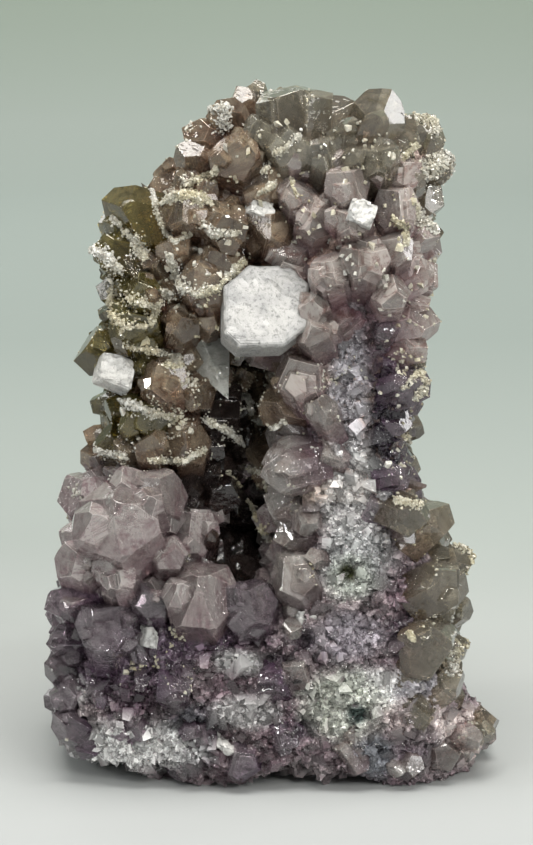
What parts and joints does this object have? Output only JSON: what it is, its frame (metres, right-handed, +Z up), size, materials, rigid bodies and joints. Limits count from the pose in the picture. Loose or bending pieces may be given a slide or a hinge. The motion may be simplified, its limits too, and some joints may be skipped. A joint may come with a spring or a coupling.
{
  "type": "mineral cluster",
  "caption": "Free-standing cluster of pale amethyst points with a white calcite plate and small calcite crystals, resting on its broken flat foot.",
  "frame": {"origin": "middle of the cluster's foot, on the ground", "axes": "+Z up, -Y towards the side with the calcite plate and the hollow, +X to the right of that side"},
  "size_m": [0.079, 0.0585, 0.1184],
  "materials": {
    "amethyst": "translucent pale amethyst, glassy crystal faces and frosted druse",
    "dark_quartz": "dark smoky quartz in the shade of the hollow",
    "white_calcite": "frosted white calcite",
    "clear_calcite": "clear greenish calcite"
  },
  "bodies": {
    "root": {"amethyst_cluster": "amethyst", "recess_crust": "dark_quartz", "calcite_plate": "white_calcite", "calcite_rhomb": "white_calcite", "calcite_button": "white_calcite", "calcite_tooth": "white_calcite", "calcite_chip": "white_calcite", "calcite_flake": "white_calcite", "calcite_block": "white_calcite", "calcite_spike": "clear_calcite"}
  },
  "joints": []
}
